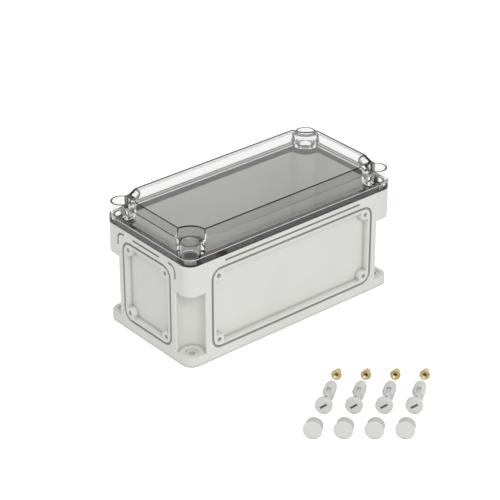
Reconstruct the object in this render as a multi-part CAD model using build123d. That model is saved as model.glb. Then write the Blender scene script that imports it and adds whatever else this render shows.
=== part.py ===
from build123d import *
import os
from math import atan2, copysign, cos, degrees, hypot, radians, sin

# A wall-mounting electrical enclosure: a moulded base box with a knock-out flange panel on each side,
# a clear lid with a seal and four screw towers, and its loose hardware lying beside it: four cover caps,
# four quarter-turn lid screws and four brass inserts. Millimetres, +Z up, with the origin at the middle
# of the underside.

# Outline shared by the base and the lid
BOX_LENGTH = 300.0
BOX_WIDTH = 150.0
BOX_HEIGHT = 160.0
BASE_HEIGHT = 127.0
CORNER_RADIUS = 13.0
AXIS_INSET = 13.5

# Base walls, floor and feet
SIDE_THICKNESS = 9.5
FLOOR_THICKNESS = 3.0
INNER_CORNER_RADIUS = 3.0
FOOT_THICKNESS = 12.0
FOOT_HOLE_RADIUS = 4.0
FOOT_SINK_RADIUS = 7.5
FOOT_SINK_DEPTH = 1.0
CHANNEL_RADIUS = 15.4
CHANNEL_TOP = 89.0
COLUMN_WALL = 2.0
BASE_EDGE_ROUND = 1.5

# Flange panel on each side
PANEL_END_MARGIN = 33.0
PANEL_LOW = 14.3
PANEL_HIGH = 113.3
PANEL_CORNER_RADIUS = 12.0
GROOVE_WIDTH = 3.0
GROOVE_DEPTH = 3.2
PANEL_LAND = 3.2
PANEL_MEMBRANE = 2.5
PANEL_HOLE_INSET = 9.0
PANEL_HOLE_RADIUS = 2.8
PANEL_HOLE_DEPTH = 7.5
PANEL_BOSS_RADIUS = 6.6
PANEL_BOSS_FILLET = 1.2

# Label slots above the panels, and the hooked grooves beside the short ones
SLOT_HEIGHT = 120.7
SLOT_WIDTH = 2.4
SLOT_DEPTH = 2.8
SLOT_END_MARGIN = 51.0
HOOK_START = 35.5
HOOK_MARGIN = 23.8
HOOK_BEND = 8.5
HOOK_LOW = 105.0

# Bosses on the floor for a mounting plate
BOSS_SPACING_X = 220.0
BOSS_SPACING_Y = 104.0
BOSS_HEIGHT = 10.0
BOSS_HOLE_DEPTH = 11.0

# Seal between the base and the lid
SEAL_INSET = 2.5
SEAL_WIDTH = 5.0
SEAL_CORNER_OFFSET = 7.7
SEAL_CORNER_CLIP = 6.5
SEAL_CORNER_FILLET = 1.5
SEAL_HEIGHT = 4.9
SEAL_CLEARANCE = 0.3
RIB_WIDTH = 1.6
RIB_HEIGHT = 1.2

# Clear lid
FLANGE_THICKNESS = 8.0
LID_WALL = 2.6
BEVEL_RUN = 6.6
BEVEL_RISE = 9.0
NOTCH_TOP_RADIUS = 20.0
NOTCH_LOW_RADIUS = 16.5
TOWER_WALL = 2.1
LID_EDGE_ROUND = 0.5

# Lid screws and the sockets that take them
SCREW_HEAD_RADIUS = 9.1
SCREW_HEAD_THICKNESS = 6.0
SCREW_HEAD_CHAMFER = 1.1
SCREW_NECK_RADIUS = 4.7
SCREW_NECK_LENGTH = 9.0
SCREW_CAM_RADIUS = 6.6
SCREW_CAM_LENGTH = 29.0
SCREW_CAM_LEAD = 2.0
SCREW_TIP_ROUND = 4.5
SCREW_FLAT_HALF = 5.8
SCREW_FLAT_LENGTH = 9.0
SCREW_RELIEF_LENGTH = 9.0
SCREW_DIMPLE_RADIUS = 0.9
SCREW_DIMPLE_DEPTH = 1.0
SCREW_WINDOW_WIDTH = 2.4
SCREW_WINDOW_LENGTH = 9.0
SCREW_WINDOW_DEPTH = 1.6
DRIVER_SLOT_LENGTH = 8.6
DRIVER_SLOT_WIDTH = 1.8
DRIVER_SLOT_DEPTH = 2.5
DRIVER_SLOT_ANGLE = 37.0
SCREW_CLEARANCE = 0.3
WELL_CLEARANCE = 0.8
SOCKET_CHAMBER_RADIUS = 7.8
SOCKET_MOUTH_DEPTH = 9.0

# Cover caps, which plug the wells
CAP_DISC_RADIUS = 10.4
CAP_DISC_THICKNESS = 2.6
CAP_EDGE_ROUND = 0.6
CAP_PLUG_LENGTH = 7.6
CAP_PLUG_CLEARANCE = 0.4
CAP_WALL = 1.6
CAP_GROOVE_COUNT = 2
CAP_GROOVE_WIDTH = 1.3
CAP_GROOVE_DEPTH = 0.7

# Brass inserts, which press into the floor bosses
INSERT_FLANGE_RADIUS = 5.5
INSERT_FLANGE_THICKNESS = 2.0
INSERT_WAIST_RADIUS = 2.8
INSERT_WAIST_LENGTH = 1.6
INSERT_STUB_RADIUS = 3.4
INSERT_STUB_LENGTH = 7.8
INSERT_BORE_RADIUS = 2.1
INSERT_SINK = 0.9
INSERT_CLEARANCE = 0.1
INSERT_SCALLOP_COUNT = 12
INSERT_SCALLOP_RADIUS = 0.4

# Where the loose hardware lies: one column of cap, screw and insert, repeated along a slanting row.
# Its starts are measured from the front left corner of the box.
COLUMN_COUNT = 4
COLUMN_PITCH = 32.0
ROW_ANGLE = -40.0
HARDWARE_HEADING = 37.0
CAP_START = (15.6, -183.9)
SCREW_START = (55.0, -156.9)
INSERT_START = (110.0, -116.7)

# How near two places are taken to be the same
TOLERANCE = 0.01

# Sizes that follow from the ones above
AXIS_X = BOX_LENGTH / 2 - AXIS_INSET
AXIS_Y = BOX_WIDTH / 2 - AXIS_INSET
COLUMN_RADIUS = CHANNEL_RADIUS + COLUMN_WALL
PANEL_HEIGHT = PANEL_HIGH - PANEL_LOW
PANEL_MIDDLE = (PANEL_HIGH + PANEL_LOW) / 2
RECESS_DEPTH = SIDE_THICKNESS - PANEL_MEMBRANE
RECESS_MARGIN = GROOVE_WIDTH / 2 + PANEL_LAND
WELL_RADIUS = SCREW_HEAD_RADIUS + WELL_CLEARANCE
TOWER_RADIUS = WELL_RADIUS + TOWER_WALL
SHOULDER = BOX_HEIGHT - BEVEL_RISE
LID_WALL_INSET = SIDE_THICKNESS - LID_WALL
FLANGE_TOP = BASE_HEIGHT + FLANGE_THICKNESS
SCREW_HOLE_RADIUS = SCREW_CAM_RADIUS + SCREW_CLEARANCE
CAP_PLUG_RADIUS = WELL_RADIUS - CAP_PLUG_CLEARANCE
BOSS_RADIUS = INSERT_FLANGE_RADIUS
BOSS_TOP = FLOOR_THICKNESS + BOSS_HEIGHT
BOSS_PLACE = (BOSS_SPACING_X / 2, BOSS_SPACING_Y / 2)
BOSS_HOLE_RADIUS = INSERT_STUB_RADIUS + INSERT_CLEARANCE
SEAL_BOTTOM = BASE_HEIGHT + RIB_HEIGHT + SEAL_CLEARANCE
SEAL_TOP = SEAL_BOTTOM + SEAL_HEIGHT


def corners(x, y):
    """The four places at plus and minus x and y."""
    return [(sx * x, sy * y) for sx in (-1, 1) for sy in (-1, 1)]


def on_axes(face):
    """Copies of a face on the four screw axes."""
    return Sketch() + [Pos(x, y) * face for x, y in corners(AXIS_X, AXIS_Y)]


def seal_edge(inset, fillet_radius=0.0):
    """The box outline set in by inset, passing inside each screw axis at a matching distance."""
    plain = Rectangle(BOX_LENGTH - 2 * inset, BOX_WIDTH - 2 * inset)
    reach = AXIS_INSET + SEAL_CORNER_CLIP
    clip = Rectangle(reach, reach)
    clip_x, clip_y = (BOX_LENGTH - reach) / 2, (BOX_WIDTH - reach) / 2
    clips = Sketch() + [Pos(x, y) * clip for x, y in corners(clip_x, clip_y)]
    face = plain - on_axes(Circle(SEAL_CORNER_OFFSET + inset)) - clips
    if fillet_radius:
        face = fillet(face.vertices(), fillet_radius)
    return face


def inside():
    """The clear space within the walls and corner columns, the same in the base and the lid."""
    plain = Rectangle(BOX_LENGTH - 2 * SIDE_THICKNESS, BOX_WIDTH - 2 * SIDE_THICKNESS)
    return fillet((plain - on_axes(Circle(COLUMN_RADIUS))).vertices(), INNER_CORNER_RADIUS)


def raised(face, low, high):
    """A face in the ground plane made into a solid from low to high."""
    return extrude(Pos(0, 0, low) * face, amount=high - low)


def spans(edge, low, high):
    """Whether an edge reaches from low to high, or lies level where they are the same."""
    box = edge.bounding_box()
    return abs(box.min.Z - low) < TOLERANCE and abs(box.max.Z - high) < TOLERANCE


def on_outline(edge):
    """Whether the middle of an edge lies on the rounded outline of the box."""
    middle = edge @ 0.5
    x = abs(middle.X) - BOX_LENGTH / 2 + CORNER_RADIUS
    y = abs(middle.Y) - BOX_WIDTH / 2 + CORNER_RADIUS
    reach = hypot(max(x, 0), max(y, 0)) + min(max(x, y), 0)
    return abs(reach - CORNER_RADIUS) < TOLERANCE


def seal_band(margin):
    """The ring that the seal fills, grown by margin on both sides."""
    outer = seal_edge(SEAL_INSET - margin, SEAL_CORNER_FILLET)
    inner = seal_edge(SEAL_INSET + SEAL_WIDTH + margin, SEAL_CORNER_FILLET)
    return outer - inner


def panel_half_length(side_length):
    """Half the length of the seal groove on a side of this length."""
    return side_length / 2 - PANEL_END_MARGIN


def side_plane(angle, half_depth):
    """A drawing plane on an outer face: its x runs along the face, its y is up, its z points outwards."""
    turned = Rot(0, 0, angle) * Pos(0, -half_depth, PANEL_MIDDLE) * Rot(90, 0, 0)
    return Plane(turned)


def panel_cuts(plane, side_length):
    """The seal groove, recess, blind holes and label slot of one side."""
    half = panel_half_length(side_length)
    width, height = 2 * half, PANEL_HEIGHT
    grown = GROOVE_WIDTH / 2
    ring = RectangleRounded(width + GROOVE_WIDTH, height + GROOVE_WIDTH, PANEL_CORNER_RADIUS + grown)
    ring -= RectangleRounded(width - GROOVE_WIDTH, height - GROOVE_WIDTH, PANEL_CORNER_RADIUS - grown)
    hole_x, hole_y = half - PANEL_HOLE_INSET, height / 2 - PANEL_HOLE_INSET
    holes = Sketch() + [Pos(x, y) * Circle(PANEL_HOLE_RADIUS) for x, y in corners(hole_x, hole_y)]
    recess = Rectangle(width - 2 * RECESS_MARGIN, height - 2 * RECESS_MARGIN)
    reach = PANEL_HOLE_INSET - RECESS_MARGIN
    corner_pad = Rectangle(reach, reach)
    for x, y in corners(hole_x, hole_y):
        recess -= Pos(x, y) * Circle(PANEL_BOSS_RADIUS)
        recess -= Pos(x + copysign(reach, x) / 2, y + copysign(reach, y) / 2) * corner_pad
    recess = fillet(recess.vertices(), PANEL_BOSS_FILLET)
    slot_length = side_length - 2 * SLOT_END_MARGIN
    slot = Pos(0, SLOT_HEIGHT - PANEL_MIDDLE) * SlotOverall(slot_length, SLOT_WIDTH)
    cuts = extrude(plane * ring, amount=-GROOVE_DEPTH)
    cuts += extrude(plane * recess, amount=-RECESS_DEPTH)
    cuts += extrude(plane * holes, amount=-PANEL_HOLE_DEPTH)
    cuts += extrude(plane * slot, amount=-SLOT_DEPTH)
    return cuts


def hook_cuts(plane, side_length):
    """The two hooked grooves beside the panel of a short side."""
    inner, outer = side_length / 2 - HOOK_START, side_length / 2 - HOOK_MARGIN
    high, low = SLOT_HEIGHT - PANEL_MIDDLE, HOOK_LOW - PANEL_MIDDLE
    path = FilletPolyline((inner, high), (outer, high), (outer, low), radius=HOOK_BEND)
    hook = trace(path, line_width=SLOT_WIDTH)
    groove = extrude(plane * hook, amount=-SLOT_DEPTH)
    return groove + mirror(groove, about=Plane.XZ)


def socket(radius, low, high):
    """One upright cylinder of this radius about each screw axis."""
    return raised(on_axes(Circle(radius)), low, high)


def make_base():
    """The base box: walls, corner columns and blocks, feet, flange panels and floor bosses."""
    outline = RectangleRounded(BOX_LENGTH, BOX_WIDTH, CORNER_RADIUS)
    base = raised(outline, 0, BASE_HEIGHT)
    base -= socket(CHANNEL_RADIUS, FOOT_THICKNESS, CHANNEL_TOP)
    base -= raised(inside(), FLOOR_THICKNESS, BASE_HEIGHT)
    bosses = Sketch() + [Pos(x, y) * Circle(BOSS_RADIUS) for x, y in corners(*BOSS_PLACE)]
    boss_holes = Sketch() + [Pos(x, y) * Circle(BOSS_HOLE_RADIUS) for x, y in corners(*BOSS_PLACE)]
    base += raised(bosses, FLOOR_THICKNESS / 2, BOSS_TOP)
    base -= raised(boss_holes, BOSS_TOP - BOSS_HOLE_DEPTH, BOSS_TOP)
    base -= socket(FOOT_HOLE_RADIUS, 0, FOOT_THICKNESS)
    base -= socket(FOOT_SINK_RADIUS, FOOT_THICKNESS - FOOT_SINK_DEPTH, FOOT_THICKNESS)
    base -= socket(SCREW_HOLE_RADIUS, CHANNEL_TOP, BASE_HEIGHT)
    base -= socket(SOCKET_CHAMBER_RADIUS, CHANNEL_TOP, BASE_HEIGHT - SOCKET_MOUTH_DEPTH)
    rib_inset = SEAL_INSET + (SEAL_WIDTH - RIB_WIDTH) / 2
    rib = seal_edge(rib_inset) - seal_edge(rib_inset + RIB_WIDTH)
    base += raised(rib, BASE_HEIGHT - RIB_HEIGHT, BASE_HEIGHT + RIB_HEIGHT)
    for angle in (0, 180):
        base -= panel_cuts(side_plane(angle, BOX_WIDTH / 2), BOX_LENGTH)
    for angle in (90, -90):
        plane = side_plane(angle, BOX_LENGTH / 2)
        base -= panel_cuts(plane, BOX_WIDTH) + hook_cuts(plane, BOX_WIDTH)
    foot, top = FOOT_THICKNESS, CHANNEL_TOP
    levels = ((foot, foot), (top, top), (foot, top))
    outer_edges = [edge for edge in base.edges() if on_outline(edge)]
    rims = [edge for edge in outer_edges if any(spans(edge, low, high) for low, high in levels)]
    return fillet(rims, BASE_EDGE_ROUND)


def frustum(inset, low, top):
    """A box outline at this inset and height, sloping in to the top plate's outline at the lid's bevel."""
    reach = inset + (top - low) * BEVEL_RUN / BEVEL_RISE
    lower = Rectangle(BOX_LENGTH - 2 * inset, BOX_WIDTH - 2 * inset)
    upper = Rectangle(BOX_LENGTH - 2 * reach, BOX_WIDTH - 2 * reach)
    return loft([Pos(0, 0, low) * lower, Pos(0, 0, top) * upper], ruled=True)


def funnels(radius, low, top):
    """One upright funnel about each screw axis, of this radius at the low end, opening like the notches."""
    top_radius = radius + (top - low) * (NOTCH_TOP_RADIUS - NOTCH_LOW_RADIUS) / BEVEL_RISE
    funnel = Cone(radius, top_radius, top - low, align=(Align.CENTER, Align.CENTER, Align.MIN))
    return Part() + [Pos(x, y, low) * funnel for x, y in corners(AXIS_X, AXIS_Y)]


def make_lid():
    """The clear lid: flange with a seal groove, and a hood with funnel notches over four screw towers."""
    flange = raised(RectangleRounded(BOX_LENGTH, BOX_WIDTH, CORNER_RADIUS), BASE_HEIGHT, FLANGE_TOP)
    wall = Rectangle(BOX_LENGTH - 2 * LID_WALL_INSET, BOX_WIDTH - 2 * LID_WALL_INSET)
    hood = raised(wall, BASE_HEIGHT, SHOULDER) + frustum(LID_WALL_INSET, SHOULDER, BOX_HEIGHT)
    hood -= funnels(NOTCH_LOW_RADIUS, SHOULDER, BOX_HEIGHT)
    ceiling = BOX_HEIGHT - LID_WALL
    inner_shoulder = SHOULDER - LID_WALL * (hypot(BEVEL_RUN, BEVEL_RISE) - BEVEL_RISE) / BEVEL_RUN
    space = raised(inside(), BASE_HEIGHT, inner_shoulder) + frustum(SIDE_THICKNESS, inner_shoulder, ceiling)
    notch_run = NOTCH_TOP_RADIUS - NOTCH_LOW_RADIUS
    notch_wall = LID_WALL * hypot(notch_run, BEVEL_RISE) / BEVEL_RISE
    neck = SHOULDER - (NOTCH_LOW_RADIUS + notch_wall - COLUMN_RADIUS) * BEVEL_RISE / notch_run
    space -= socket(COLUMN_RADIUS, inner_shoulder, ceiling) + funnels(COLUMN_RADIUS, neck, ceiling)
    lid = flange + hood + socket(TOWER_RADIUS, BASE_HEIGHT, SHOULDER) - space
    rims = [edge for edge in lid.edges() if spans(edge, BOX_HEIGHT, BOX_HEIGHT)]
    rims += [edge for edge in lid.edges() if on_outline(edge) and spans(edge, FLANGE_TOP, FLANGE_TOP)]
    lid = fillet(rims, LID_EDGE_ROUND)
    lid -= socket(WELL_RADIUS, FLANGE_TOP, BOX_HEIGHT)
    lid -= socket(SCREW_HOLE_RADIUS, BASE_HEIGHT, FLANGE_TOP)
    return lid - raised(seal_band(SEAL_CLEARANCE), BASE_HEIGHT, SEAL_TOP + SEAL_CLEARANCE)


def make_gasket():
    """The seal, which passes inside all four screw axes."""
    return raised(seal_band(0), SEAL_BOTTOM, SEAL_TOP)


def revolved(points):
    """A turned piece: the outline given as radius and depth pairs, spun about +Z."""
    outline = Polyline([(radius, 0, depth) for radius, depth in points], close=True)
    return revolve(make_face(outline), axis=Axis.Z)


def lying(piece, start, front_radius, front_depth, back_radius, back_depth):
    """A turned piece laid on its side on the ground, its face at start and its tail pointing away."""
    tilt = atan2(front_radius - back_radius, back_depth - front_depth)
    height = front_radius * cos(tilt) + front_depth * sin(tilt)
    aimed = Rot(0, 0, HARDWARE_HEADING) * Rot(0, 90 + degrees(tilt), 0)
    return Pos(start[0], start[1], height) * aimed * piece


def make_cap():
    """A cover cap: a disc and a grooved plug, hollow from behind."""
    depth = CAP_DISC_THICKNESS + CAP_PLUG_LENGTH
    disc = Cylinder(CAP_DISC_RADIUS, CAP_DISC_THICKNESS, align=(Align.CENTER, Align.CENTER, Align.MIN))
    disc = fillet(disc.edges().filter_by(GeomType.CIRCLE).sort_by(Axis.Z)[0], CAP_EDGE_ROUND)
    plug = Pos(0, 0, CAP_DISC_THICKNESS) * Cylinder(
        CAP_PLUG_RADIUS, CAP_PLUG_LENGTH, align=(Align.CENTER, Align.CENTER, Align.MIN)
    )
    step = CAP_PLUG_LENGTH / CAP_GROOVE_COUNT
    for index in range(CAP_GROOVE_COUNT):
        low = CAP_DISC_THICKNESS + step * index
        plug -= revolved([
            (CAP_PLUG_RADIUS - CAP_GROOVE_DEPTH, low),
            (CAP_PLUG_RADIUS + CAP_GROOVE_DEPTH, low),
            (CAP_PLUG_RADIUS + CAP_GROOVE_DEPTH, low + CAP_GROOVE_WIDTH),
            (CAP_PLUG_RADIUS - CAP_GROOVE_DEPTH, low + CAP_GROOVE_WIDTH),
        ])
    hollow = Pos(0, 0, CAP_DISC_THICKNESS) * Cylinder(
        CAP_PLUG_RADIUS - CAP_WALL, depth, align=(Align.CENTER, Align.CENTER, Align.MIN)
    )
    return disc + plug - hollow


def make_screw():
    """A quarter-turn lid screw: slotted head, narrow neck and a flatted cam with a rounded tip."""
    neck_end = SCREW_HEAD_THICKNESS + SCREW_NECK_LENGTH
    end = neck_end + SCREW_CAM_LENGTH
    barrel_end = end - SCREW_TIP_ROUND
    screw = revolved([
        (0, 0),
        (SCREW_HEAD_RADIUS - SCREW_HEAD_CHAMFER, 0),
        (SCREW_HEAD_RADIUS, SCREW_HEAD_CHAMFER),
        (SCREW_HEAD_RADIUS, SCREW_HEAD_THICKNESS),
        (SCREW_NECK_RADIUS, SCREW_HEAD_THICKNESS),
        (SCREW_NECK_RADIUS, neck_end),
        (SCREW_CAM_RADIUS, neck_end + SCREW_CAM_LEAD),
        (SCREW_CAM_RADIUS, end),
        (0, end),
    ])
    tip = screw.edges().filter_by(GeomType.CIRCLE).sort_by(Axis.Z)[-1]
    screw = fillet(tip, SCREW_TIP_ROUND)
    width = 2 * SCREW_CAM_RADIUS
    driver_slot = Rot(0, 0, 90 - DRIVER_SLOT_ANGLE) * Box(
        DRIVER_SLOT_LENGTH, DRIVER_SLOT_WIDTH, 2 * DRIVER_SLOT_DEPTH
    )
    side = Pos(0, SCREW_NECK_RADIUS + width / 2, neck_end + SCREW_RELIEF_LENGTH / 2) * Box(
        width, width, SCREW_RELIEF_LENGTH
    )
    window = Pos(-SCREW_CAM_RADIUS, 0, neck_end + SCREW_CAM_LEAD + SCREW_WINDOW_LENGTH / 2) * Box(
        2 * SCREW_WINDOW_DEPTH, SCREW_WINDOW_WIDTH, SCREW_WINDOW_LENGTH
    )
    dimple = Rot(0, 90, 0) * Cylinder(SCREW_DIMPLE_RADIUS, 2 * SCREW_DIMPLE_DEPTH)
    dimple = Pos(-SCREW_NECK_RADIUS, 0, SCREW_HEAD_THICKNESS + SCREW_NECK_LENGTH / 2) * dimple
    screw -= driver_slot + side + window + dimple
    for direction in (-1, 1):
        flat = Pos(0, direction * (SCREW_FLAT_HALF + width / 2), end - SCREW_FLAT_LENGTH / 2)
        screw -= flat * Box(width, width, SCREW_FLAT_LENGTH)
    return screw


def make_insert():
    """A brass insert: flange, waist and splined stub, bored through."""
    waist_end = INSERT_FLANGE_THICKNESS + INSERT_WAIST_LENGTH
    end = waist_end + INSERT_STUB_LENGTH
    insert = revolved([
        (INSERT_BORE_RADIUS + INSERT_SINK, 0),
        (INSERT_FLANGE_RADIUS, 0),
        (INSERT_FLANGE_RADIUS, INSERT_FLANGE_THICKNESS),
        (INSERT_WAIST_RADIUS, INSERT_FLANGE_THICKNESS),
        (INSERT_WAIST_RADIUS, waist_end),
        (INSERT_STUB_RADIUS, waist_end),
        (INSERT_STUB_RADIUS, end),
        (INSERT_BORE_RADIUS, end),
        (INSERT_BORE_RADIUS, INSERT_SINK),
    ])
    scallop = Circle(INSERT_SCALLOP_RADIUS)
    spots = PolarLocations(INSERT_STUB_RADIUS, INSERT_SCALLOP_COUNT)
    scallops = Sketch() + [spot * scallop for spot in spots]
    return insert - raised(scallops, waist_end, end)


def place(start, index):
    """Where the piece of this column starts, in the frame of the box."""
    along = COLUMN_PITCH * index
    x = start[0] - BOX_LENGTH / 2 + along * cos(radians(ROW_ANGLE))
    return x, start[1] - BOX_WIDTH / 2 + along * sin(radians(ROW_ANGLE))


def write(piece, name):
    """Writes one node as a STEP file."""
    piece.label = name
    export_step(piece, f"parts/{name}.step")


os.makedirs("parts", exist_ok=True)
write(make_base(), "base_box")
write(make_lid(), "clear_lid")
write(make_gasket(), "lid_gasket")
for column in range(COLUMN_COUNT):
    write(lying(make_cap(), place(CAP_START, column), CAP_DISC_RADIUS, CAP_DISC_THICKNESS,
                CAP_PLUG_RADIUS, CAP_DISC_THICKNESS + CAP_PLUG_LENGTH), f"cover_cap_{column + 1}")
    write(lying(make_screw(), place(SCREW_START, column), SCREW_HEAD_RADIUS, SCREW_HEAD_THICKNESS,
                SCREW_CAM_RADIUS, SCREW_HEAD_THICKNESS + SCREW_NECK_LENGTH + SCREW_CAM_LENGTH
                - SCREW_TIP_ROUND), f"lid_screw_{column + 1}")
    write(lying(make_insert(), place(INSERT_START, column), INSERT_FLANGE_RADIUS, INSERT_FLANGE_THICKNESS,
                INSERT_STUB_RADIUS, INSERT_FLANGE_THICKNESS + INSERT_WAIST_LENGTH
                + INSERT_STUB_LENGTH), f"brass_insert_{column + 1}")
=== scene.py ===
import math

import bmesh
import bpy
from mathutils import Matrix, Vector

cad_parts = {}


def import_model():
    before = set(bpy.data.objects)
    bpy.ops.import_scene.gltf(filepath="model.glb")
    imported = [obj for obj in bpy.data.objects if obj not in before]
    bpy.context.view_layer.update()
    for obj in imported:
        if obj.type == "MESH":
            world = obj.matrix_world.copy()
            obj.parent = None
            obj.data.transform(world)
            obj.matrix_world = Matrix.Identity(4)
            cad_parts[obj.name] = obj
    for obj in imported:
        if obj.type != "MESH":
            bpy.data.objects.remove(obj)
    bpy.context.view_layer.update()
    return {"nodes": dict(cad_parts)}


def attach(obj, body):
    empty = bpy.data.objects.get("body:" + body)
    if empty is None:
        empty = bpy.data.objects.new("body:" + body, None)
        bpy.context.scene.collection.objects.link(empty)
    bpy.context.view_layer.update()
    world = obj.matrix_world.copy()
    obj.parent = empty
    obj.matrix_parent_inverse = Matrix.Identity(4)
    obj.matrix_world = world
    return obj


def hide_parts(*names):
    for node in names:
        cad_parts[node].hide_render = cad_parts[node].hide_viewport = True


# The dressed look of the electrical enclosure: plastics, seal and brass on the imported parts, a pale floor,
# soft studio light and the photograph's camera. Metres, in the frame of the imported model.

# Camera, worked out from the photograph's straight edges
CAMERA_PLACE = (-1.25792, -1.49756, 1.16402)
CAMERA_AZIMUTH = math.radians(-40.0)
CAMERA_ELEVATION = math.radians(29.33)
CAMERA_LENS_MM = 140.68
SENSOR_MM = 36.0

# Stage: an even white studio that lights matt surfaces less than it shows, one soft box, and a floor whose
# glow is weaker in reflections and lights no matt surface, so that the box isn't flooded from below
WHITE = (1.0, 1.0, 1.0, 1.0)
WORLD_STRENGTH = 1.0
WORLD_FILL = 0.62
KEY_PLACE = (-1.1, -2.4, 2.4)
KEY_TARGET = (0.0, -0.1, 0.05)
KEY_SIZE = 1.3
KEY_POWER = 36.0
FLOOR_HALF = 6.0
FLOOR_COLOUR = (0.93, 0.93, 0.93, 1.0)
FLOOR_ROUGHNESS = 0.9
FLOOR_GLOW = 0.6
GLOSSY_DIMMING = 0.5

# Surfaces. Colours are linear light. A noise is a scale in cycles per metre and a detail. A bump is a
# strength and a height. Stops are where a noise turns from the dark colour to the light one. A roughness
# with two numbers is a range.
BASE_LIGHT = (0.765, 0.775, 0.735, 1.0)
BASE_DARK = (0.735, 0.745, 0.705, 1.0)
BASE_ROUGHNESS = (0.44, 0.56)
BASE_NOISE = (2600.0, 4.0)
BASE_BUMP = (0.5, 0.00006)
HARDWARE_LIGHT = (0.735, 0.745, 0.71, 1.0)
HARDWARE_DARK = (0.705, 0.715, 0.68, 1.0)
HARDWARE_ROUGHNESS = (0.39, 0.51)
HARDWARE_NOISE = (3200.0, 4.0)
HARDWARE_BUMP = (0.5, 0.00005)
CLOUD_NOISE = (16.0, 2.0)
CLOUD_STOPS = (0.3, 0.7)
MOULDED_IOR = 1.5
# Painted shade: an ambient occlusion mask darkens grooves and nooks towards this colour, standing in for the
# shade that falls there
NOOK_SHADE_COLOUR = (0.20, 0.20, 0.185, 1.0)
NOOK_SHADE_STRENGTH = 0.8
NOOK_REACH = 0.004
NOOK_SAMPLES = 8

LID_TINT = (0.985, 0.982, 0.98, 1.0)
LID_ABSORPTION = (0.62, 0.61, 0.60, 1.0)
LID_DENSITY = 5.0
LID_ROUGHNESS = 0.012
LID_IOR = 1.47
LID_NOISE = (9.0, 1.0)
LID_BUMP = (0.15, 0.0002)

SEAL_LIGHT = (0.016, 0.015, 0.014, 1.0)
SEAL_DARK = (0.006, 0.006, 0.006, 1.0)
SEAL_ROUGHNESS = (0.55, 0.85)
SEAL_CELLS = 1500.0
SEAL_NOISE = (60.0, 3.0)
SEAL_STOPS = (0.35, 0.7)
SEAL_BUMP = (0.6, 0.0002)
SEAL_SPECULAR = 0.1

BRASS_LIGHT = (0.70, 0.58, 0.34, 1.0)
BRASS_DARK = (0.46, 0.36, 0.18, 1.0)
BRASS_ROUGHNESS = (0.22, 0.42)
TARNISH_NOISE = (350.0, 3.0)
TARNISH_STOPS = (0.3, 0.65)
TOOL_MARK_NOISE = (2500.0, 2.0)
TOOL_MARK_BUMP = (0.25, 0.00008)

# Painted highlight: the light matt colours of the strip along the flange's outer edge, standing in for the
# glint of the rounded edge
EDGE_LIGHT = (0.93, 0.90, 0.88, 1.0)
EDGE_DARK = (0.82, 0.78, 0.76, 1.0)
EDGE_ROUGHNESS = 0.35
EDGE_NOISE = (90.0, 3.0)
EDGE_STOPS = (0.3, 0.7)

# Finer forms of the loose hardware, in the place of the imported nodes. All are turned pieces that lie on their
# sides in slanting rows. Profiles are pairs of radius and depth from the face. A rest is the front pair and
# the back pair that touch the floor. Cuts are blocks, whose places count from the middle of the face.
COLUMN_COUNT = 4
COLUMN_PITCH = 0.032
ROW_ANGLE = math.radians(-40.0)
HEADING = math.radians(37.0)
CAP_START = (-0.1344, -0.2589)
SCREW_START = (-0.0950, -0.2319)
INSERT_START = (-0.0400, -0.1917)
TURN_STEPS = 96
SHARP_ANGLE = math.radians(32.0)
CAP_PROFILE = (
    (0.0, 0.00012), (0.0086, 0.0), (0.0092, 0.0), (0.0099, 0.0002), (0.0103, 0.0006),
    (0.0104, 0.0011), (0.0104, 0.0020), (0.0101, 0.0024), (0.0086, 0.0025), (0.0079, 0.0028),
    (0.0079, 0.0058), (0.0084, 0.0062), (0.0095, 0.0064), (0.0095, 0.0076), (0.0084, 0.0078),
    (0.0079, 0.0082), (0.0079, 0.0110), (0.0084, 0.0113), (0.0095, 0.0115), (0.0095, 0.0128),
    (0.0092, 0.0133), (0.0073, 0.0133), (0.0068, 0.0128), (0.0068, 0.0030), (0.0, 0.0028),
)
CAP_REST = (0.0104, 0.0020, 0.0095, 0.0128)
SCREW_PROFILE = (
    (0.0, 0.0), (0.0081, 0.0), (0.0088, 0.0003), (0.0094, 0.0010), (0.0095, 0.0014),
    (0.0095, 0.0046), (0.0092, 0.0050), (0.0046, 0.0052), (0.0042, 0.0056), (0.0042, 0.0220),
    (0.0046, 0.0226), (0.0062, 0.0229), (0.0068, 0.0236), (0.0069, 0.0250), (0.0069, 0.0410),
    (0.0064, 0.0450), (0.0053, 0.0488), (0.0042, 0.0503), (0.0036, 0.0505), (0.0, 0.0505),
)
SCREW_REST = (0.0095, 0.0046, 0.0069, 0.0410)
SLOT_SIZE = (0.0090, 0.0026, 0.0096)
SLOT_PLACE = (0.0, 0.0, 0.0)
SLOT_TURN = math.radians(53.0)
CAM_CUT_SIZE = (0.0120, 0.0090, 0.0090)
CAM_CUT_PLACE = (0.0, 0.0090, 0.0268)
CAM_POCKET_SIZE = (0.0036, 0.0046, 0.0090)
CAM_POCKET_PLACE = (-0.0069, -0.0006, 0.0266)
DIMPLE_SIZE = (0.0050, 0.0026, 0.0026)
DIMPLE_PLACE = (-0.0042, 0.0, 0.0150)
INSERT_FACE = (
    (0.00245, 0.0007), (0.0030, 0.0002), (0.0036, 0.0), (0.0050, 0.0),
    (0.0057, 0.0003), (0.0059, 0.0008), (0.0059, 0.0015), (0.0056, 0.0019),
)
INSERT_STUB = (
    (0.0029, 0.0021), (0.0028, 0.0046), (0.0035, 0.0049), (0.0036, 0.0053), (0.0036, 0.0085),
    (0.0030, 0.0088), (0.0030, 0.0094), (0.0036, 0.0097), (0.0036, 0.0127), (0.0032, 0.0132),
)
INSERT_REST = (0.0059, 0.0015, 0.0036, 0.0127)
KNURLED_DEPTHS = (0.0053, 0.0085, 0.0097, 0.0127)
KNURL_STEPS = 4
KNURL_DEPTH = 0.00045
THREAD_HIGH = 0.0020
THREAD_LOW = 0.0024
THREAD_PITCH = 0.0008
THREAD_END = 0.0128
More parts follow.
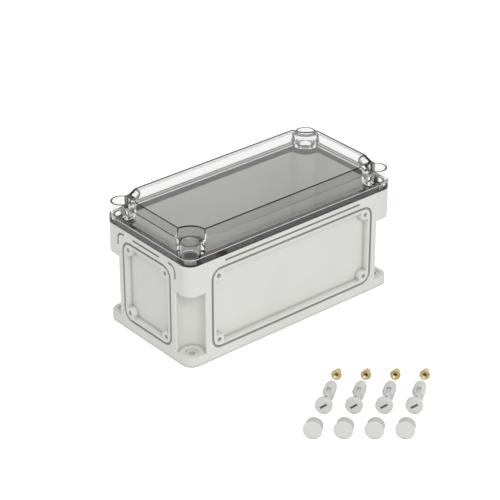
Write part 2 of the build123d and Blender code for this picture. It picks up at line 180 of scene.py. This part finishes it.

# Finer forms of the lid: the seal's foam, squeezed down beside the rim's rib, and a light strip on the flange's
# edge that is a painted highlight
SEAL_BOTTOM_ZONE = 0.1290
SEAL_FOOT = 0.1271
LID_HALF_LENGTH = 0.150
LID_HALF_WIDTH = 0.075
LID_CORNER_RADIUS = 0.013
EDGE_LINE_INSET = 0.00038
EDGE_LINE_HEIGHT = 0.13500
EDGE_LINE_RADIUS = 0.00036
EDGE_CORNER_STEPS = 24
EDGE_TUBE_STEPS = 10


def linked(tree, kind, **sockets):
    """A new node whose named inputs are set, or linked where the value is another node's output."""
    node = tree.nodes.new(kind)
    for name, value in sockets.items():
        socket = node.inputs[name.replace("_", " ")]
        if isinstance(value, bpy.types.NodeSocket):
            tree.links.new(value, socket)
        else:
            socket.default_value = value
    return node


def object_place(tree):
    """Coordinates that ride the object."""
    return tree.nodes.new("ShaderNodeTexCoord").outputs["Object"]


def noise(tree, scale, detail):
    """A noise value at this many cycles per metre."""
    node = linked(tree, "ShaderNodeTexNoise", Vector=object_place(tree), Scale=scale, Detail=detail)
    return node.outputs["Fac"]


def ramp(tree, value, stops, dark, light):
    """The value spread between two colours."""
    node = linked(tree, "ShaderNodeValToRGB", Fac=value)
    for element, stop, colour in zip(node.color_ramp.elements, stops, (dark, light)):
        element.position, element.color = stop, colour
    return node.outputs["Color"]


def spread(tree, value, low, high):
    """The value spread between two numbers."""
    node = linked(tree, "ShaderNodeMapRange", Value=value, To_Min=low, To_Max=high)
    return node.outputs["Result"]


def mixed(tree, factor, colour, other):
    """The colour, mixed by the factor with a fixed other one."""
    node = linked(tree, "ShaderNodeMix", Factor=factor)
    node.data_type = "RGBA"
    sockets = {socket.identifier: socket for socket in (*node.inputs, *node.outputs)}
    tree.links.new(colour, sockets["A_Color"])
    sockets["B_Color"].default_value = other
    return sockets["Result_Color"]


def bumped(tree, height, strength, depth):
    """The surface's normal over a fine relief."""
    node = linked(tree, "ShaderNodeBump", Height=height, Strength=strength, Distance=depth)
    return node.outputs["Normal"]


def new_material(name):
    """A material with an empty node tree."""
    material = bpy.data.materials.new(name)
    material.use_nodes = True
    material.node_tree.nodes.clear()
    return material, material.node_tree


def surface(tree, **sockets):
    """The material's output node, joined to a principled surface with these inputs."""
    shader = linked(tree, "ShaderNodeBsdfPrincipled", **sockets)
    return linked(tree, "ShaderNodeOutputMaterial", Surface=shader.outputs["BSDF"])


def moulded_plastic(name, dark, light, roughness, grain_noise, grain_bump):
    """A fine-grained moulded plastic, with faint flow clouds and with painted shade that darkens its grooves
    and nooks.
    """
    material, tree = new_material(name)
    grain = noise(tree, *grain_noise)
    # Painted shade: ambient occlusion darkens the colour in grooves and nooks
    nooks = linked(tree, "ShaderNodeAmbientOcclusion", Distance=NOOK_REACH)
    nooks.samples = NOOK_SAMPLES
    painted_shade = spread(tree, nooks.outputs["AO"], NOOK_SHADE_STRENGTH, 0.0)
    clouds = ramp(tree, noise(tree, *CLOUD_NOISE), CLOUD_STOPS, dark, light)
    surface(
        tree,
        Base_Color=mixed(tree, painted_shade, clouds, NOOK_SHADE_COLOUR),
        Roughness=spread(tree, grain, *roughness),
        Normal=bumped(tree, grain, *grain_bump),
        IOR=MOULDED_IOR,
    )
    return material


def clear_plastic():
    """Clear plastic, which darkens where light travels far inside it."""
    material, tree = new_material("clear_polycarbonate")
    output = surface(
        tree,
        Base_Color=LID_TINT,
        Roughness=LID_ROUGHNESS,
        Normal=bumped(tree, noise(tree, *LID_NOISE), *LID_BUMP),
        IOR=LID_IOR,
        Transmission_Weight=1.0,
    )
    absorption = linked(tree, "ShaderNodeVolumeAbsorption", Color=LID_ABSORPTION, Density=LID_DENSITY)
    tree.links.new(absorption.outputs["Volume"], output.inputs["Volume"])
    return material


def seal_foam():
    """The dark cellular rubber of the seal."""
    material, tree = new_material("seal_foam")
    foam = linked(tree, "ShaderNodeTexVoronoi", Vector=object_place(tree), Scale=SEAL_CELLS)
    cells = foam.outputs["Distance"]
    surface(
        tree,
        Base_Color=ramp(tree, noise(tree, *SEAL_NOISE), SEAL_STOPS, SEAL_DARK, SEAL_LIGHT),
        Roughness=spread(tree, cells, *SEAL_ROUGHNESS),
        Normal=bumped(tree, cells, *SEAL_BUMP),
        Specular_IOR_Level=SEAL_SPECULAR,
    )
    return material


def turned_brass():
    """Machined brass with faint tool marks."""
    material, tree = new_material("turned_brass")
    marks = noise(tree, *TOOL_MARK_NOISE)
    surface(
        tree,
        Base_Color=ramp(tree, noise(tree, *TARNISH_NOISE), TARNISH_STOPS, BRASS_DARK, BRASS_LIGHT),
        Metallic=1.0,
        Roughness=spread(tree, marks, *BRASS_ROUGHNESS),
        Normal=bumped(tree, marks, *TOOL_MARK_BUMP),
    )
    return material


def painted_edge_highlight():
    """A painted highlight: a light matt line along the flange's outer edge, in place of the rounded edge's
    glint.
    """
    material, tree = new_material("painted_edge_highlight")
    surface(
        tree,
        Base_Color=ramp(tree, noise(tree, *EDGE_NOISE), EDGE_STOPS, EDGE_DARK, EDGE_LIGHT),
        Roughness=EDGE_ROUGHNESS,
    )
    return material


def floor_material():
    """Plain pale paper that shows white. Its glow is set by the kind of ray that meets it."""
    material, tree = new_material("pale_floor")
    path = tree.nodes.new("ShaderNodeLightPath")
    dimming = tree.nodes.new("ShaderNodeMath")
    dimming.operation = "MULTIPLY_ADD"
    factor, share, addend = dimming.inputs
    tree.links.new(path.outputs["Is Glossy Ray"], factor)
    share.default_value = GLOSSY_DIMMING
    tree.links.new(path.outputs["Is Diffuse Ray"], addend)
    surface(
        tree,
        Base_Color=FLOOR_COLOUR,
        Roughness=FLOOR_ROUGHNESS,
        Specular_IOR_Level=0.0,
        Emission_Color=WHITE,
        Emission_Strength=spread(tree, dimming.outputs["Value"], FLOOR_GLOW, 0.0),
    )
    return material


def paint(mesh, material):
    """Gives the whole mesh one material."""
    mesh.materials.clear()
    mesh.materials.append(material)


def smooth(mesh):
    """Shades every face of the mesh smooth."""
    mesh.polygons.foreach_set("use_smooth", [True] * len(mesh.polygons))


def add_object(name, data):
    """A new object in the scene with this mesh, light or camera."""
    thing = bpy.data.objects.new(name, data)
    bpy.context.collection.objects.link(thing)
    return thing


def add_piece(name, bm):
    """A new object in the scene with this bmesh, which is freed."""
    mesh = bpy.data.meshes.new(name)
    bm.to_mesh(mesh)
    bm.free()
    return add_object(name, mesh)


def join_rings(bm, rings, steps):
    """Closes each pair of neighbouring rings with faces; a ring may be a single point."""
    for ring, following in rings:
        for step in range(steps):
            after = (step + 1) % steps
            corners = [ring[step % len(ring)], ring[after % len(ring)],
                       following[after % len(following)], following[step % len(following)]]
            bm.faces.new(list(dict.fromkeys(corners)))
    bmesh.ops.recalc_face_normals(bm, faces=bm.faces)


def circle(radius, step, steps):
    """The two coordinates of this step around a circle."""
    angle = 2.0 * math.pi * step / steps
    return radius * math.cos(angle), radius * math.sin(angle)


def turned(name, profile, knurled=()):
    """A closed piece turned about +Z from a profile of radius and depth; some depths are knurled."""
    bm = bmesh.new()
    rings = []
    for radius, depth in profile:
        ring = []
        for step in range(TURN_STEPS if radius else 1):
            low = depth in knurled and step % KNURL_STEPS < KNURL_STEPS // 2
            reach = radius - KNURL_DEPTH if low else radius
            ring.append(bm.verts.new((*circle(reach, step, TURN_STEPS), depth)))
        rings.append(ring)
    pairs = list(zip(rings, rings[1:]))
    if len(rings[0]) > 1:
        pairs.append((rings[-1], rings[0]))
    join_rings(bm, pairs, TURN_STEPS)
    return add_piece(name, bm)


def block(size, place, turn=0.0):
    """A plain cutter block."""
    bm = bmesh.new()
    bmesh.ops.create_cube(bm, size=1.0)
    bm.transform(Matrix.Translation(place) @ Matrix.Rotation(turn, 4, "Z") @ Matrix.Diagonal((*size, 1.0)))
    return add_piece("cutter", bm)


def cut(piece, cutters):
    """Takes the cutters away from the piece and deletes them."""
    for cutter in cutters:
        taking = piece.modifiers.new("cut", "BOOLEAN")
        taking.operation, taking.solver, taking.object = "DIFFERENCE", "EXACT", cutter
        whole = piece.evaluated_get(bpy.context.evaluated_depsgraph_get())
        shape = bpy.data.meshes.new_from_object(whole)
        piece.modifiers.clear()
        piece.data = shape
        bpy.data.objects.remove(cutter)


def make_cap(name):
    """A cover cap: a crowned disc over a plug with two deep sealing grooves, hollow from behind."""
    return turned(name, CAP_PROFILE)


def make_screw(name):
    """A quarter-turn lid screw: slotted head, slim neck with a dimple, relieved cam with a tapered tip."""
    screw = turned(name, SCREW_PROFILE)
    cut(screw, (
        block(SLOT_SIZE, SLOT_PLACE, SLOT_TURN),
        block(CAM_CUT_SIZE, CAM_CUT_PLACE),
        block(CAM_POCKET_SIZE, CAM_POCKET_PLACE),
        block(DIMPLE_SIZE, DIMPLE_PLACE),
    ))
    return screw


def make_insert(name):
    """A brass insert: a chamfered flange, a knurled stub and a threaded bore right through."""
    thread = []
    for turn in range(int((THREAD_END - THREAD_PITCH) / THREAD_PITCH)):
        depth = THREAD_END - THREAD_PITCH * turn
        thread += [(THREAD_LOW, depth), (THREAD_HIGH, depth - THREAD_PITCH / 2)]
    return turned(name, INSERT_FACE + INSERT_STUB + tuple(thread), KNURLED_DEPTHS)


def lay(piece, start, rest, column):
    """Lays a turned piece on its side on the floor, in its place in the row, as part of its mesh."""
    front_radius, front_depth, back_radius, back_depth = rest
    tilt = math.atan2(front_radius - back_radius, back_depth - front_depth)
    height = front_radius * math.cos(tilt) + front_depth * math.sin(tilt)
    along = COLUMN_PITCH * column
    place = (start[0] + along * math.cos(ROW_ANGLE), start[1] + along * math.sin(ROW_ANGLE), height)
    aim = Matrix.Rotation(HEADING, 4, "Z") @ Matrix.Rotation(math.pi / 2.0 + tilt, 4, "Y")
    piece.data.transform(Matrix.Translation(place) @ aim)


def finish_hardware(plastic, brass):
    """Puts the finer caps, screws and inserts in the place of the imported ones."""
    kinds = (
        ("cover_cap", make_cap, CAP_START, CAP_REST, plastic, "hardware_plastic"),
        ("lid_screw", make_screw, SCREW_START, SCREW_REST, plastic, "hardware_plastic"),
        ("brass_insert", make_insert, INSERT_START, INSERT_REST, brass, "brass"),
    )
    for node, make, start, rest, material, slot in kinds:
        for column in range(COLUMN_COUNT):
            name = f"{node}_{column + 1}"
            piece = make(f"fine_{name}")
            lay(piece, start, rest, column)
            paint(piece.data, material)
            smooth(piece.data)
            piece.data.set_sharp_from_angle(angle=SHARP_ANGLE)
            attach(piece, name)
            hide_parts(name)


def finish_seal(frame, material):
    """The seal as it sits when squeezed: its foam comes down to the rim on both sides of the rib."""
    mesh = frame["nodes"]["lid_gasket"].data.copy()
    for vertex in mesh.vertices:
        if vertex.co.z < SEAL_BOTTOM_ZONE:
            vertex.co.z = SEAL_FOOT
    paint(mesh, material)
    seal = add_object("squeezed_seal", mesh)
    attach(seal, "lid")
    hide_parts("lid_gasket")


def finish_flange():
    """A thin light strip along the upper outer edge of the lid's flange, a painted highlight in place of the
    rounded edge's glint.
    """
    bm = bmesh.new()
    rings = []
    run = LID_CORNER_RADIUS - EDGE_LINE_INSET
    for quarter, (sx, sy) in enumerate(((1, 1), (-1, 1), (-1, -1), (1, -1))):
        middle = Vector((sx * (LID_HALF_LENGTH - LID_CORNER_RADIUS),
                         sy * (LID_HALF_WIDTH - LID_CORNER_RADIUS), EDGE_LINE_HEIGHT))
        for step in range(EDGE_CORNER_STEPS + 1):
            angle = math.pi / 2.0 * (quarter + step / EDGE_CORNER_STEPS)
            out = Vector((math.cos(angle), math.sin(angle), 0.0))
            ring = []
            for turn in range(EDGE_TUBE_STEPS):
                across, up = circle(EDGE_LINE_RADIUS, turn, EDGE_TUBE_STEPS)
                ring.append(bm.verts.new(middle + out * (run + across) + Vector((0.0, 0.0, up))))
            rings.append(ring)
    join_rings(bm, list(zip(rings, rings[1:] + rings[:1])), EDGE_TUBE_STEPS)
    line = add_piece("painted_flange_highlight", bm)
    paint(line.data, painted_edge_highlight())
    smooth(line.data)
    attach(line, "lid")


def dress(frame):
    """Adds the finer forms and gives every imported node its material."""
    base = moulded_plastic(
        "moulded_base", BASE_DARK, BASE_LIGHT, BASE_ROUGHNESS, BASE_NOISE, BASE_BUMP)
    hardware = moulded_plastic(
        "moulded_hardware", HARDWARE_DARK, HARDWARE_LIGHT, HARDWARE_ROUGHNESS, HARDWARE_NOISE, HARDWARE_BUMP)
    looks = {
        "base_box": base,
        "clear_lid": clear_plastic(),
        "lid_gasket": seal_foam(),
        "cover_cap": hardware,
        "lid_screw": hardware,
        "brass_insert": turned_brass(),
    }
    finish_hardware(hardware, looks["brass_insert"])
    finish_seal(frame, looks["lid_gasket"])
    finish_flange()
    for name, node in frame["nodes"].items():
        paint(node.data, next(look for start, look in looks.items() if name.startswith(start)))


def make_floor():
    """The floor that the box and its hardware lie on."""
    corners = [(x * FLOOR_HALF, y * FLOOR_HALF, 0.0) for x, y in ((-1, -1), (1, -1), (1, 1), (-1, 1))]
    mesh = bpy.data.meshes.new("floor")
    mesh.from_pydata(corners, [], [(0, 1, 2, 3)])
    paint(mesh, floor_material())
    floor = add_object("floor", mesh)


def make_world():
    """An even white studio."""
    world = bpy.data.worlds.new("studio")
    world.use_nodes = True
    tree = world.node_tree
    path = tree.nodes.new("ShaderNodeLightPath")
    background = tree.nodes["Background"]
    background.inputs["Color"].default_value = WHITE
    strength = spread(tree, path.outputs["Is Diffuse Ray"], WORLD_STRENGTH, WORLD_FILL)
    tree.links.new(strength, background.inputs["Strength"])
    bpy.context.scene.world = world


def make_key_light():
    """A square soft box that looks at the front of the enclosure."""
    light = bpy.data.lights.new("key", "AREA")
    light.size, light.energy = KEY_SIZE, KEY_POWER
    holder = add_object("key", light)
    holder.location = KEY_PLACE
    holder.rotation_euler = (Vector(KEY_TARGET) - Vector(KEY_PLACE)).to_track_quat("-Z", "Y").to_euler()


def make_camera():
    """The photograph's camera."""
    back = Vector((
        math.sin(CAMERA_AZIMUTH) * math.cos(CAMERA_ELEVATION),
        -math.cos(CAMERA_AZIMUTH) * math.cos(CAMERA_ELEVATION),
        math.sin(CAMERA_ELEVATION),
    ))
    data = bpy.data.cameras.new("camera")
    data.sensor_width, data.lens = SENSOR_MM, CAMERA_LENS_MM
    camera = add_object("camera", data)
    camera.location = CAMERA_PLACE
    camera.rotation_euler = (-back).to_track_quat("-Z", "Y").to_euler()
    bpy.context.scene.camera = camera


def main():
    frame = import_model()
    make_camera()
    make_world()
    make_floor()
    make_key_light()
    dress(frame)
    bpy.context.scene.view_settings.view_transform = "Standard"


main()
